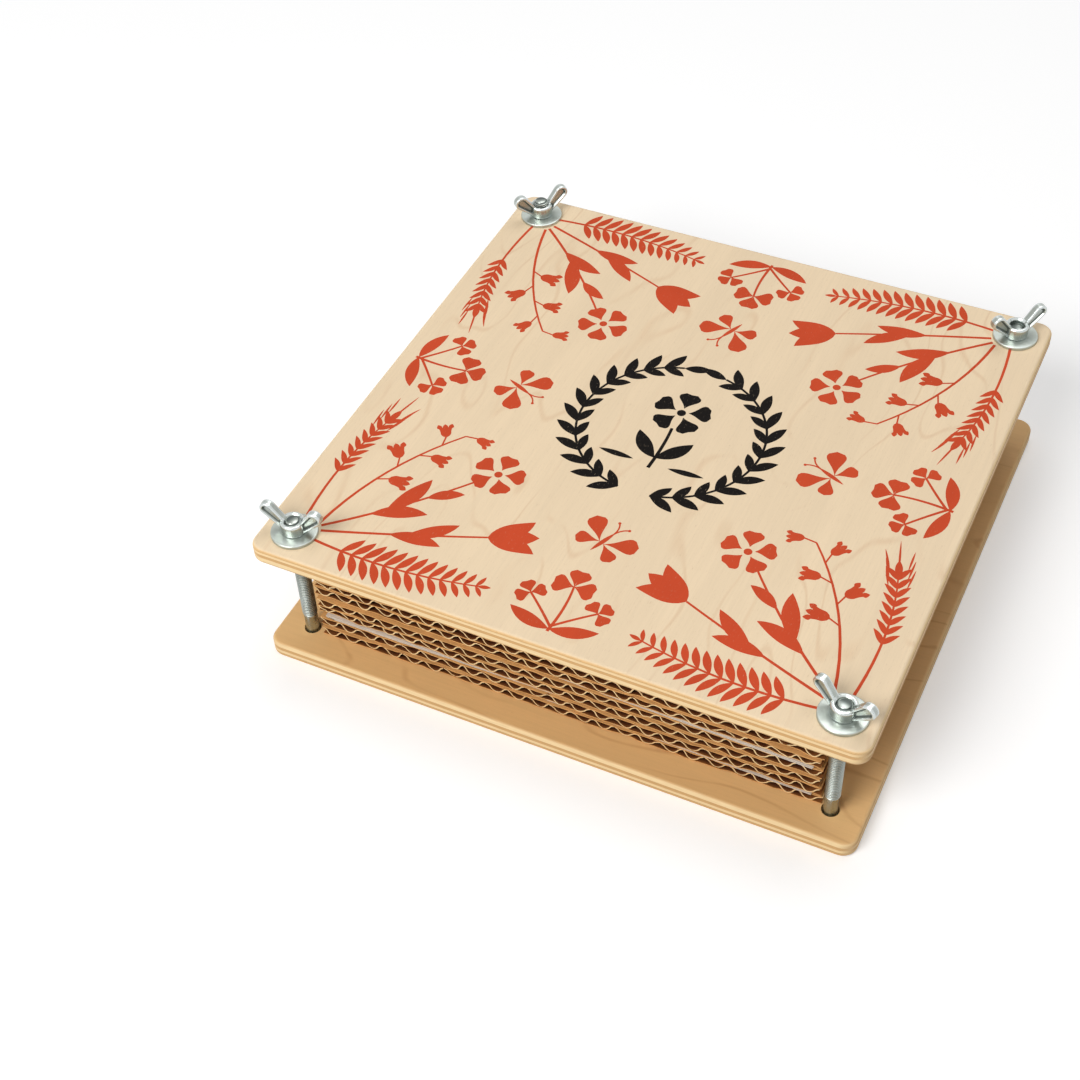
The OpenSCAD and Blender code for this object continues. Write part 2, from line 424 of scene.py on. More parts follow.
def bright_zinc(name, tint, scratch, marks, satin, hollows=False):
    """Zinc plate: bright metal with a soft crystalline bloom and fine marks.

    The hollows that the mesh carries get painted shade, and the high spots a painted highlight.
    Satin is the least roughness.
    """
    zinc = Finish(name, Metallic=1.0)
    bloom = zinc.grain(0.5, detail=2)
    stain = zinc.grain(0.16, detail=3, shift=(5, 2, 9))
    lines = zinc.grain(scratch, detail=2, rough=0.7)
    coat = zinc.coats(
        zinc.mottled(stain, tint, 0.88, 1.08),
        (bloom.rise(0.45, 0.75) * 0.2, ZINC_BLOOM),
        (lines.rise(0.6, 0.8) * 0.12, shade(tint, 0.75)),
    )
    rough = satin + bloom * 0.1 + stain * 0.06
    if hollows:
        hollow = zinc.attribute("hollow")
        # Painted shade in the hollows and a painted highlight on the proud spots; the hollows
        # are also rougher
        coat = zinc.coats(
            coat,
            (hollow.rise(0.52, 0.85) * 0.8, HOLLOW_SHADE),
            (hollow.rise(0.48, 0.25) * 0.6, PROUD_HIGHLIGHT),
        )
        rough = rough + hollow.rise(0.5, 0.8) * 0.2
    zinc.bump(bloom * 0.006 + lines * marks, 0.4)
    return zinc.wear(coat, rough)


def kraft(name, tint, fibre_size, per_flute=0.0, painted_shade=False):
    """Brown kraft paper with short fibres, flecks and soft blotches.

    Inside the flutes it gets painted shade that deepens with the depth that the mesh carries.
    """
    card = Finish(name, Specular_IOR_Level=0.2)
    fibre = card.grain(fibre_size, detail=3, rough=0.65)
    blotch = card.grain((0.14, 0.14, 0.4), detail=3)
    fleck = card.grain((1.1, 2.2, 2.2), detail=1, shift=(3, 8, 1)).rise(0.7, 0.76)
    coat = card.coats(
        card.mottled(blotch, tint, 0.9, 1.08),
        (fibre.rise(0.3, 0.8) * 0.4, shade(tint, 0.78)),
        (fleck * 0.45, CARD_FLECK),
    )
    height = fibre * 0.03 + blotch * 0.02
    if per_flute:
        wave = (card.x * (math.tau / per_flute)).sine()
        # Painted shade in stripes at the flute pitch, where the face lies over the flutes; the
        # bump follows the same waves
        coat = card.mix(wave.rise(0.2, 1.0) * 0.16, coat, shade(tint, 0.8))
        height = height + wave * 0.05
    if painted_shade:
        # Painted shade that deepens from the open ends into the flutes
        inward = card.attribute("depth").rise(-0.8, 1.6)
        coat = card.mix(inward * 0.97, coat, FLUTE_SHADE)
    card.bump(height, 0.8)
    return card.wear(coat, 0.82 + fibre * 0.12)


def blotting(name, tint, spots):
    """Soft unsized paper with a felt-like surface."""
    felt = Finish(name, Specular_IOR_Level=0.15)
    fibre = felt.grain(spots, detail=4, rough=0.7)
    cloud = felt.grain((0.1, 0.1, 0.5), detail=3)
    coat = felt.mottled(cloud, tint, 0.94, 1.04)
    coat = felt.mix(fibre.rise(0.4, 0.8) * 0.3, coat, shade(tint, 0.84))
    felt.bump(fibre * 0.05 + cloud * 0.03, 0.8)
    return felt.wear(coat, 0.88 + fibre * 0.08)


def finished_piece(name, bm, materials, sharp=35.0):
    """Makes the shape an object at the origin, smooth but for its sharp edges."""
    mesh = bpy.data.meshes.new(name)
    bm.to_mesh(mesh)
    bm.free()
    for material in materials:
        mesh.materials.append(material)
    mesh.shade_smooth()
    mesh.set_sharp_from_angle(angle=math.radians(sharp))
    piece = bpy.data.objects.new(name, mesh)
    bpy.context.scene.collection.objects.link(piece)
    return piece


def take_place(piece, body, node):
    """Hangs the piece on its body and hides the node of the frame that it stands in for."""
    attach(piece, body)
    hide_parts(node)


def about_z(degrees):
    return Matrix.Rotation(math.radians(degrees), 4, "Z")


def set_on_axis(piece, node, height, body):
    """Moves a piece made round the Z axis to its node's axis and lets it stand for it."""
    low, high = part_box(node)
    piece.data.transform(
        Matrix.Translation(((low.x + high.x) / 2, (low.y + high.y) / 2, height))
    )
    take_place(piece, body, node)


def lay_sheets(node, name, slot, skews, finishes, shape, sizes):
    """Makes a sheet for each skew, which rides on the body of its own node."""
    for number, skew in enumerate(skews, 1):
        own = f"{node}_{number}"
        bm = shape(sizes, number, [corner.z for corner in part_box(own)])
        sheet = finished_piece(f"{name}_{number}", bm, finishes, 50)
        sheet.data.transform(about_z(skew))
        take_place(sheet, own, own)


def applied(piece):
    """Replaces the piece's mesh with its finished one and drops the modifiers."""
    graph = bpy.context.evaluated_depsgraph_get()
    mesh = bpy.data.meshes.new_from_object(piece.evaluated_get(graph))
    piece.modifiers.clear()
    old = piece.data
    piece.data = mesh
    bpy.data.meshes.remove(old)


def discarded(piece):
    """Removes a helper object with its mesh."""
    mesh = piece.data
    bpy.data.objects.remove(piece)
    bpy.data.meshes.remove(mesh)


def combined(piece, shape, operation="DIFFERENCE", melt=False):
    """Takes the closed shape out of the piece, or keeps only what both have.

    With melt, parts of the piece that overlap each other become one solid.
    """
    cutter = finished_piece("cutter", shape, [])
    cut = piece.modifiers.new("cut", "BOOLEAN")
    cut.operation = operation
    cut.solver = "EXACT"
    cut.use_self = melt
    cut.object = cutter
    applied(piece)
    discarded(cutter)
    return piece


def picked(made, kind):
    """The points, edges or faces among what an operation made."""
    return [item for item in made["geom"] if isinstance(item, kind)]


def whole(bm):
    return bm.verts[:] + bm.edges[:] + bm.faces[:]


def once(items):
    """Each item once, in the order in which they come."""
    return list(dict.fromkeys(items))


def swept(bm, outline, steps, rise=0.0):
    """Spins an outline of radius and height pairs once round Z, up a helix if it rises."""
    verts = [bm.verts.new((radius, 0, height)) for radius, height in outline]
    edges = [bm.edges.new(pair) for pair in zip(verts, verts[1:])]
    bmesh.ops.spin(
        bm,
        geom=verts + edges,
        cent=(0, 0, 0),
        axis=UP,
        dvec=(0, 0, rise / steps),
        angle=math.tau,
        steps=steps,
        use_merge=not rise,
        use_duplicate=False,
    )


def turned(bm, outline, steps):
    """Spins an outline of radius and height pairs round Z into a closed shape."""
    swept(bm, outline, steps)
    bmesh.ops.remove_doubles(bm, verts=bm.verts, dist=1e-7)
    bmesh.ops.recalc_face_normals(bm, faces=bm.faces)


def rounded(bm, edges, radius):
    bmesh.ops.bevel(
        bm,
        geom=edges,
        offset=radius,
        offset_type="OFFSET",
        segments=4,
        profile=0.5,
        affect="EDGES",
        material=-1,
    )


def threaded_bolt(sizes, foot, end):
    """A countersunk bolt with a real helix, standing on the Z axis, still without its slot."""
    pitch = sizes.thread_pitch
    crest = THREAD_RADIUS
    root = crest - sizes.thread_depth
    start = sizes.thread_start
    head = HEAD_RADIUS
    rim_top = foot + 0.4 * MM
    arris = 0.1 * MM
    tip = 1.7 * MM
    tip_slope = 1.4
    run_out_turns = 1.2
    turns = math.ceil((end - start) / pitch) + 2
    bm = bmesh.new()
    profile = ((crest, 0.0), (crest, 0.2), (root, 0.525), (root, 0.675), (crest, 1.0))
    one_turn = [(radius, start + (rise - 1) * pitch) for radius, rise in profile]
    swept(bm, one_turn, 36, pitch)
    turn = whole(bm)
    for number in range(1, turns):
        moved = picked(bmesh.ops.duplicate(bm, geom=turn), BMVert)
        bmesh.ops.translate(bm, verts=moved, vec=(0, 0, number * pitch))
    bmesh.ops.remove_doubles(bm, verts=bm.verts, dist=1e-6)
    for height, outward in ((end, UP), (start, -UP)):
        bmesh.ops.bisect_plane(
            bm,
            geom=whole(bm),
            dist=1e-7,
            plane_co=(0, 0, height),
            plane_no=outward,
            clear_outer=True,
        )
    # Each point notes how hollow it is, so that the zinc paints shade into the thread's groove
    hollow = bm.verts.layers.float.new("hollow")
    for vert in bm.verts:
        radius = vert.co.xy.length
        run_out = min(1.0, (vert.co.z - start) / (run_out_turns * pitch))
        vert[hollow] = 0.5 + 0.45 * run_out * (crest - radius) / (crest - root)
        wanted = sizes.shank + (radius - sizes.shank) * run_out
        wanted = min(wanted, tip + tip_slope * (end - vert.co.z))
        vert.co.x *= wanted / radius
        vert.co.y *= wanted / radius
    ring = [e for e in bm.edges if e.is_boundary and e.verts[0].co.z < start + pitch / 2]
    for height, radius in (
        (rim_top + head - sizes.shank, sizes.shank),
        (rim_top, head),
        (foot + arris, head),
        (foot, head - arris),
    ):
        made = bmesh.ops.extrude_edge_only(bm, edges=ring)
        ring = picked(made, BMEdge)
        for vert in picked(made, BMVert):
            scale = radius / vert.co.xy.length
            vert.co = (vert.co.x * scale, vert.co.y * scale, height)
            vert[hollow] = 0.5
    bmesh.ops.holes_fill(bm, edges=bm.edges[:], sides=0)
    bmesh.ops.recalc_face_normals(bm, faces=bm.faces)
    return bm


def slot_cutter(sizes, foot):
    """What the screwdriver slot takes out of a bolt's head."""
    bm = bmesh.new()
    below = 1 * MM
    size = Vector((12 * MM, sizes.slot_width, sizes.slot_depth + below))
    middle = Vector((0, 0, foot - below + size.z / 2))
    bmesh.ops.create_cube(
        bm, size=1, matrix=Matrix.Translation(middle) @ Matrix.Diagonal((*size, 1))
    )
    return bm


def wing(bm, sizes):
    """One wing along X: two circles with their tangents, thick, with a hollow web."""
    root, root_r = Vector((3.125, 2.25)) * MM, 1.75 * MM
    tip, tip_r = Vector((7.9, 7.4)) * MM, 2.5 * MM
    arris = 0.42 * MM
    web_slope = 0.35 * MM
    line = tip - root
    touch = math.acos((root_r - tip_r) / line.length)
    lean = Matrix.Rotation(math.atan2(line.y, line.x), 2)
    rim = bmesh.ops.create_circle(bm, cap_ends=True, radius=1, segments=48)["verts"]
    for vert in rim:
        way = vert.co.xy
        at_tip = abs(math.atan2(way.y, way.x)) <= touch
        centre, radius = (tip, tip_r) if at_tip else (root, root_r)
        spot = centre + lean @ way * radius
        vert.co = (spot.x, sizes.wing_thickness / 2, spot.y)
    face = rim[0].link_faces[0]
    made = bmesh.ops.extrude_face_region(bm, geom=[face], use_keep_orig=True)
    bmesh.ops.translate(bm, verts=picked(made, BMVert), vec=(0, -sizes.wing_thickness, 0))
    flats = [f for f in [face] + picked(made, BMFace) if len(f.verts) == len(rim)]
    bmesh.ops.recalc_face_normals(bm, faces=bm.faces)
    rounded(bm, once(edge for flat in flats for edge in flat.edges), arris)
    flats = sorted(bm.faces, key=lambda f: f.calc_area())[-2:]
    depth = (sizes.wing_thickness - sizes.web_thickness) / 2
    for thickness, sink in ((sizes.wing_rim - arris, 0.0), (web_slope, depth)):
        bmesh.ops.inset_individual(
            bm, faces=flats, thickness=thickness, depth=-sink, use_even_offset=True
        )


def wing_nut_shape(sizes):
    """A cold-formed wing nut: hub and wings melted into one skin, then bored."""
    hub, top = sizes.hub, sizes.hub_height
    bm = bmesh.new()
    turned(
        bm,
        [
            (0, 0),
            (hub - 0.25 * MM, 0),
            (hub, 0.25 * MM),
            (hub - 0.05 * MM, top - 0.45 * MM),
            (hub - 0.45 * MM, top),
            (0, top),
        ],
        64,
    )
    for turn in (0, math.pi):
        one = bmesh.new()
        wing(one, sizes)
        bmesh.ops.rotate(
            one, verts=one.verts, cent=(0, 0, 0), matrix=Matrix.Rotation(turn, 3, "Z")
        )
        mesh = bpy.data.meshes.new("wing")
        one.to_mesh(mesh)
        one.free()
        bm.from_mesh(mesh)
        bpy.data.meshes.remove(mesh)
    nut = finished_piece("nut_blank", bm, [])
    skin = nut.modifiers.new("skin", "REMESH")
    skin.mode = "VOXEL"
    skin.voxel_size = 0.15 * MM
    applied(nut)
    bm = bmesh.new()
    bm.from_mesh(nut.data)
    for _ in range(7):
        bmesh.ops.smooth_vert(
            bm,
            verts=bm.verts,
            factor=0.5,
            use_axis_x=True,
            use_axis_y=True,
            use_axis_z=True,
        )
    for vert in bm.verts:
        vert.co.z = max(vert.co.z, 0.0)
    bm.to_mesh(nut.data)
    bm.free()
    mark_hollows(nut.data)
    cutter = bmesh.new()
    lip = 0.5 * MM
    turned(
        cutter,
        [
            (0, -lip),
            (NUT_BORE + 2 * lip, -lip),
            (NUT_BORE, lip),
            (NUT_BORE, top - lip),
            (NUT_BORE + 2 * lip, top + lip),
            (0, top + lip),
        ],
        64,
    )
    return combined(nut, cutter)


def mark_hollows(mesh):
    """Notes on each point how hollow the skin is there: 0 proud, 0.5 flat, 1 hollow."""
    # The zinc paints shade into the hollows and a highlight onto the proud spots
    bm = bmesh.new()
    bm.from_mesh(mesh)
    hollow = bm.verts.layers.float.new("hollow")
    bends = {}
    for vert in bm.verts:
        near = [edge.other_vert(vert).co for edge in vert.link_edges]
        middle = sum(near, Vector()) / len(near)
        bends[vert.index] = (middle - vert.co).dot(vert.normal) / (0.01 * MM)
    for _ in range(2):
        bends = {
            vert.index: sum(bends[edge.other_vert(vert).index] for edge in vert.link_edges)
            / len(vert.link_edges)
            for vert in bm.verts
        }
    for vert in bm.verts:
        vert[hollow] = min(1.0, max(0.0, 0.5 + bends[vert.index] * 0.5))
    bm.to_mesh(mesh)
    bm.free()


def washer_shape(sizes, top, thickness):
    """A punched washer: a ring with a softly rolled upper rim."""
    inner, outer = WASHER_BORE, WASHER_RADIUS
    bm = bmesh.new()
    low = top - thickness
    turned(bm, [(inner, low), (outer, low), (outer, top), (inner, top), (inner, low)], 96)
    for at_top, radius, rounding in (
        (True, outer, sizes.washer_rounding),
        (False, outer, 0.12 * MM),
        (True, inner, 0.15 * MM),
        (False, inner, 0.1 * MM),
    ):
        height = top if at_top else low
        edges = [
            edge
            for edge in bm.edges
            if all(
                abs(v.co.z - height) < 1e-6 and abs(v.co.xy.length - radius) < 1e-6
                for v in edge.verts
            )
        ]
        rounded(bm, edges, rounding)
    return bm


def ease_rows(count, span, near, growth=1.9):
    """Places from one end of a span to the other, close together at both ends."""
    half = [near * (growth**step - 1) for step in range(count)]
    half = [place * (span / 2) / half[-1] for place in half]
    return [place - span / 2 for place in half] + [span / 2 - place for place in half[-2::-1]]


def layer(bm, columns, rows, place, thickness, slots):
    """A sheet over a grid, moved point by point, with its wall on the lower side.

    Its slots are the materials of the upper side, of the lower side and of the rim.
    """
    # Each point carries its depth in mm from the open ends, which the painted shade inside the
    # flutes reads
    depth = bm.verts.layers.float.get("depth") or bm.verts.layers.float.new("depth")
    made = bmesh.ops.create_grid(
        bm, x_segments=len(columns) - 1, y_segments=len(rows) - 1, size=1
    )["verts"]
    upper = once(face for vert in made for face in vert.link_faces)
    ends, sides = abs(rows[0]), abs(columns[0])
    open_side = 0.25  # light reaches deeper where the outermost flute lies open
    wide = len(columns)
    spots = {}
    for index, vert in enumerate(made):
        spots[vert.co.to_tuple(5)] = columns[index % wide], rows[index // wide]
    wall = bmesh.ops.extrude_face_region(bm, geom=upper, use_keep_orig=True)
    under = picked(wall, BMVert)
    lower = set(picked(wall, BMFace))
    for verts, drop in ((made, 0.0), (under, thickness)):
        for vert in verts:
            x, y = spots[vert.co.to_tuple(5)]
            way = place(x + 0.01 * MM, y) - place(x - 0.01 * MM, y)
            vert.co = place(x, y) - Vector((-way.z, 0, way.x)).normalized() * drop
            vert[depth] = min(ends - abs(y), open_side * (sides - abs(x))) / MM
    sheet = once(face for vert in made + under for face in vert.link_faces)
    upper = set(upper)
    for face in sheet:
        kind = 0 if face in upper else 1 if face in lower else 2
        face.material_index = slots[kind]
    bm.normal_update()
    bmesh.ops.recalc_face_normals(bm, faces=sheet)
    if sum(face.normal.z for face in upper) < 0:
        bmesh.ops.reverse_faces(bm, faces=sheet)


def card_shape(sizes, number, heights):
    """One corrugated card: two liners with a wavy layer, worn at its cut ends."""
    low, high = heights
    width, deep = CARD_WIDTH, CARD_DEPTH
    rng = Random(40 + number)
    pitch = sizes.flute_pitch
    flutes = round(width / pitch)
    thick = high - low
    wave = thick / 2 - sizes.liner - sizes.flute_wall / 2
    middle = (low + high) / 2
    lean = [rng.uniform(-0.7, 0.7) * MM for _ in range(flutes + 2)]
    sag = [rng.uniform(0.0, 0.25) for _ in range(flutes + 2)]
    dented, worn, curled = 9 * MM, 7 * MM, 2 * MM

    def wobble(x, per_mm, seed):
        """Smooth noise along the cut end, about -0.5 to 0.5."""
        return noise.noise(Vector((x / MM * per_mm, seed, number * 2.7)))

    def near_end(y, reach):
        """1 at either cut end, falling to 0 a reach inside."""
        return max(0.0, 1 - (deep / 2 - abs(y)) / reach)

    def crushed(x, y):
        """How much the card is crushed here: only close to its front end."""
        amount = 0.0
        if y < 0:
            for at, half, much in CARD_DENTS[number]:
                amount = max(amount, much * (1 - ((x / MM - at) / half) ** 2))
        return amount * near_end(y, dented) ** 2

    def cut(x, y, seed, per_mm=0.45):
        """The cut end strays a little inwards, more where it is torn or crushed."""
        if abs(y) < deep / 2 - 0.01 * MM:
            return y
        tear = max(0.0, wobble(x, 0.16, seed + 5) - 0.2)
        inward = 0.5 + wobble(x, per_mm, seed) + 2.5 * tear
        return y - math.copysign(sizes.ragged_cut * inward + crushed(x, y) * 0.9 * MM, y)

    def liner(top):
        """The upper or lower liner: it follows the flutes a little and bends in."""

        def place(x, y):
            swing = math.cos(math.tau * (x + width / 2) / pitch)
            drop = 0.03 * MM * (1 - swing if top else 1 + swing)
            drop += 0.16 * MM * near_end(y, worn) * (wobble(x, 0.1, top) + 0.4)
            drop += 0.12 * MM * near_end(y, curled)
            drop += crushed(x, y) * thick * (0.34 if top else 0.08)
            height = high - drop if top else low + sizes.liner + drop
            return Vector((x, cut(x, y, 11 if top else 23, 0.24), height))

        return place

    def flute(x, y):
        """The wavy layer: its waves lean and flatten towards the cut end."""
        turn = (x + width / 2) / pitch
        index = min(flutes, max(0, int(turn)))
        dent = crushed(x, y)
        end = near_end(y, worn)
        swing = math.cos(math.tau * turn)
        swing = math.copysign(abs(swing) ** 0.72, swing)
        reach = wave * (1 - 0.45 * dent) * (1 - sag[index] * end * 0.5)
        slide = lean[index] * end * math.sin(math.pi * (turn % 1)) * (1 + dent)
        slide += dent * 0.4 * MM * math.sin(x / MM * 1.9)
        crumple = (dent * 0.9 + 0.12 * end**3) * MM * wobble(x, 0.8, y / MM * 0.5)
        height = middle + swing * reach + crumple - dent * thick * 0.13
        return Vector((x + slide, cut(x, y, 37), height + sizes.flute_wall / 2))

    rows = ease_rows(7, deep, 0.8 * MM)
    straight = [width * (i / (flutes * 6) - 0.5) for i in range(flutes * 6 + 1)]
    waved = [width * (i / (flutes * 14) - 0.5) for i in range(flutes * 14 + 1)]
    outside, rim, inside, liner_rim = range(4)
    bm = bmesh.new()
    layer(bm, straight, rows, liner(True), sizes.liner, (outside, inside, liner_rim))
    layer(bm, straight, rows, liner(False), sizes.liner, (inside, outside, liner_rim))
    layer(bm, waved, rows, flute, sizes.flute_wall, (inside, inside, rim))
    return bm


def paper_shape(sizes, number, heights):
    """One blotting paper: soft, with an uneven edge that lifts a little."""
    width, deep = PAPER_WIDTH, PAPER_DEPTH

    def place(x, y):
        edge = max(0.0, 1 - (deep / 2 - abs(y)) / (4 * MM))
        ripple = noise.noise(Vector((x / MM * 0.045, y / MM * 0.03, number * 2.7)))
        height = heights[1] - 0.02 * MM + 0.06 * MM * edge * (ripple - 0.4)
        stray = noise.noise(Vector((x / MM * 0.5, y / MM * 0.5, number))) * 0.12 * MM
        out_x = x + (stray if abs(x) > width / 2 - 1e-6 else 0)
        out_y = y + (stray if abs(y) > deep / 2 - 1e-6 else 0)
        return Vector((out_x, out_y, height))

    columns = [width * (i / 56 - 0.5) for i in range(57)]
    bm = bmesh.new()
    layer(bm, columns, ease_rows(7, deep, 1 * MM), place, sizes.paper, (0, 0, 1))
    return bm


def toward(degrees, reach=1.0):
    """The way that an angle points, as far as the reach."""
    return Vector((math.cos(math.radians(degrees)), math.sin(math.radians(degrees)))) * reach


def bent(start, middle, end):
    """A smooth curve that leaves its start and meets its end towards the middle."""
    start, middle, end = Vector(start), Vector(middle), Vector(end)
    return lambda t: start * (1 - t) ** 2 + middle * 2 * t * (1 - t) + end * t * t


def heading(curve, share):
    """The angle at which a curve runs at a share of its length."""
    ahead = curve(min(1, share + 0.02)) - curve(max(0, share - 0.02))
    return math.degrees(math.atan2(ahead.y, ahead.x))


class Print:
    """Flat printed motifs, drawn in mm round a board's middle and then made one solid."""

    def __init__(self):
        self.bm = bmesh.new()
        self.turn = Matrix.Identity(2)

    def _settle(self, verts, place):
        for vert in verts:
            vert.co = (*(self.turn @ place(vert.co)), 0)

    def dot(self, centre, radius):
        made = bmesh.ops.create_circle(self.bm, cap_ends=True, radius=radius, segments=16)
        centre = Vector(centre)
        self._settle(made["verts"], lambda co: centre + co.xy)

    def blade(self, curve, half_width, steps=10):
        """A strip along a curve, as wide at each share of it as half_width says."""
        made = bmesh.ops.create_grid(self.bm, x_segments=steps, y_segments=1, size=1)

        def place(co):
            share = (co.x + 1) / 2
            ahead = curve(min(1, share + 0.01)) - curve(max(0, share - 0.01))
            side = Vector((-ahead.y, ahead.x)).normalized()
            return curve(share) + side * co.y * half_width(share)

        self._settle(made["verts"], place)

    def stem(self, points, thick=1.0, thin=0.7):
        curve = bent(*points)
        self.blade(curve, lambda t: (thick + (thin - thick) * t) / 2)
        return curve

    def leaf(self, base, angle, size, width, bend=0.0, fullness=1.0):
        """A pointed leaf from its base, at an angle in degrees."""
        base = Vector(base)
        middle = base + toward(angle, size * 0.5) + toward(angle + 90, bend * size)
        curve = bent(base, middle, base + toward(angle, size))
        self.blade(
            curve, lambda t: width / 2 * math.sin(math.pi * t**fullness) ** 0.85 + 0.03
        )

    def petal(self, base, angle, size, width):
        """A petal that is widest near its round end."""
        base = Vector(base)
        curve = bent(base, base + toward(angle, size * 0.5), base + toward(angle, size))

        def half(t):
            return width / 2 * math.sin(math.pi * t**1.9) ** 0.6 * (0.25 + 0.75 * t) + 0.04

        self.blade(curve, half)

    def tulip(self, at, angle, size):
        for turn, share in ((-25, 0.42), (25, 0.42), (0, 0.5)):
            self.leaf(at, angle + turn, size, size * share, -0.005 * turn, 0.8)

    def clover(self, at, angle, size):
        for turn in (-92, 0, 92):
            for lobe in (-16, 16):
                self.petal(at, angle + turn + lobe, size, size * 0.72)

    def blossom(self, at, angle, size):
        """Five petals with a notch in each, round an open ring and a dot."""
        self.dot(at, size * 0.15)
        for turn in range(0, 360, 72):
            base = Vector(at) + toward(angle + turn, size * 0.24)
            for lobe in (-15, 15):
                self.petal(base, angle + turn + lobe, size * 0.76, size * 0.56)

    def bell(self, at, angle, size):
        """A bell that hangs from its stalk, with a rim of three points."""
        at = Vector(at) - toward(angle, 0.3)

        def half(t):
            return size * (0.3 * min(1, 3 * t) ** 0.5 + 0.14 * t**4)

        end = at + toward(angle, size * 0.85)
        self.blade(bent(at, (at + end) / 2, end), half)
        for side in (-1, 0, 1):
            start = end + toward(angle + 90, side * size * 0.3) - toward(angle, size * 0.1)
            self.leaf(start, angle + side * 18, size * 0.36, size * 0.3, 0, 0.7)

    def butterfly(self, at, angle, size):
        at = Vector(at)
        self.leaf(at - toward(angle, size * 0.42), angle, size * 0.95, size * 0.13)
        for side in (-1, 1):
            edge = at + toward(angle + side * 90, size * 0.08)
            self.petal(edge, angle + side * 52, size, size * 0.72)
            self.petal(edge, angle + side * 118, size * 0.72, size * 0.56)
            head = at + toward(angle, size * 0.42)
            tip = head + toward(angle + side * 24, size * 0.5)
            self.stem((head, head + toward(angle, size * 0.3), tip), 0.5, 0.5)
            self.dot(tip, 0.5)

    def fern(self, points, pairs, reach, gap):
        """A frond: a stem with leaflets that shorten towards its tip."""
        curve = self.stem(points, 1.0, 0.5)
        for index in range(pairs):
            share = gap + (0.96 - gap) * index / (pairs - 1)
            size = reach * math.sin(math.pi * (0.24 + 0.66 * share)) ** 0.8 + 0.8
            for side in (-1, 1):
                angle = heading(curve, share) + side * 58
                self.leaf(curve(share), angle, size, size * 0.29, -0.08 * side)
        self.leaf(curve(0.97), heading(curve, 1), reach * 0.5, reach * 0.16)

    def grain_ear(self, points, grains, size, first=0.45):
        """A stem that ends in an ear of separate grains with a few long awns."""
        curve = self.stem(points, 1.0, 0.5)
        for index in range(grains):
            share = first + (0.98 - first) * index / (grains - 1)
            for side in (-1, 1):
                angle = heading(curve, share) + side * 38
                self.leaf(curve(share), angle, size, size * 0.29, -0.12 * side, 0.8)
                if index > grains - 4:
                    tip = curve(share) + toward(angle - side * 4, size * 0.77)
                    self.leaf(tip, angle - side * 26, size * 1.3, 0.6)
        self.leaf(curve(1), heading(curve, 1), size * 1.1, size * 0.36)
        self.leaf(curve(1) + toward(heading(curve, 1), 1.3), heading(curve, 1), size * 2.2, 0.6)

    def bell_spray(self, points, bells, size):
        """An arched stem with bells that hang on both sides."""
        curve = self.stem(points, 1.0, 0.6)
        for index in range(bells):
            share = 0.42 + 0.58 * index / (bells - 1)
            side = 1 if index % 2 else -1
            angle = heading(curve, share)
            start = curve(share)
            end = start + toward(angle + side * 44, size * 0.6)
            self.stem((start, (start + end) / 2, end), 0.55, 0.55)
            self.bell(end, angle + side * 66, size * (1.15 - 0.4 * share))

    def solid(self, thickness):
        """The motifs melted into one closed mesh, that thick over the face at zero."""
        bm = self.bm
        bmesh.ops.remove_doubles(bm, verts=bm.verts, dist=0.0001)
        bmesh.ops.dissolve_degenerate(bm, edges=bm.edges, dist=0.0001)
        made = bmesh.ops.extrude_face_region(bm, geom=bm.faces[:], use_keep_orig=True)
        bmesh.ops.translate(bm, verts=picked(made, BMVert), vec=(0, 0, -1))
        bmesh.ops.translate(bm, verts=bm.verts, vec=(0, 0, thickness))
        bmesh.ops.recalc_face_normals(bm, faces=bm.faces)
        kept = bmesh.new()
        middle = Matrix.Translation((0, 0, 1 - PRINT_DEPTH))
        bmesh.ops.create_cube(kept, size=1, matrix=middle @ Matrix.Diagonal((400, 400, 2, 1)))
        return combined(finished_piece("motifs", bm, []), kept, "INTERSECT", melt=True)


def corner_spray(art):
    """Stems that fan out of a corner, drawn from the bolt there with sides along X and Y."""
    art.fern(((4, -1), (34, -5), (63, 2)), 13, 8.4, 0.2)
    art.grain_ear(((-1, 4), (-5, 32), (1, 55)), 8, 6.4)
    curve = art.stem(((6, 3), (30, 11), (55, 21)))
    art.tulip(curve(1), 22, 16)
    art.leaf(curve(0.42), 5, 17, 4.8, 0.1)
    art.leaf(curve(0.52), 37, 17, 4.8, -0.1)
    curve = art.stem(((5, 5), (25, 22), (41, 42)))
    art.blossom(curve(1) + toward(48, 7), 84, 9)
    art.leaf(curve(0.3), 22, 18, 5.2, 0.12)
    art.leaf(curve(0.4), 68, 19, 5.6, -0.1)
    art.leaf(curve(0.66), 30, 12, 4, 0.1)
    art.bell_spray(((4, 6), (9, 36), (28, 59)), 5, 7)


def side_posy(art):
    """Three clovers on a side's middle, seen from there, with a butterfly over them."""
    curve = art.stem(((0, -6), (1.5, 4), (0, 13)))
    art.clover(curve(1), 90, 7)
    for side in (-1, 1):
        curve = art.stem(((0, -4), (side * 5, 1), (side * 11, 6)), 0.9, 0.7)
        art.clover(curve(1), 90 - side * 40, 5)
        art.leaf((0, -5), 90 - side * 74, 15, 4.4, -0.1 * side)
    art.butterfly((0, 33), 66, 11)


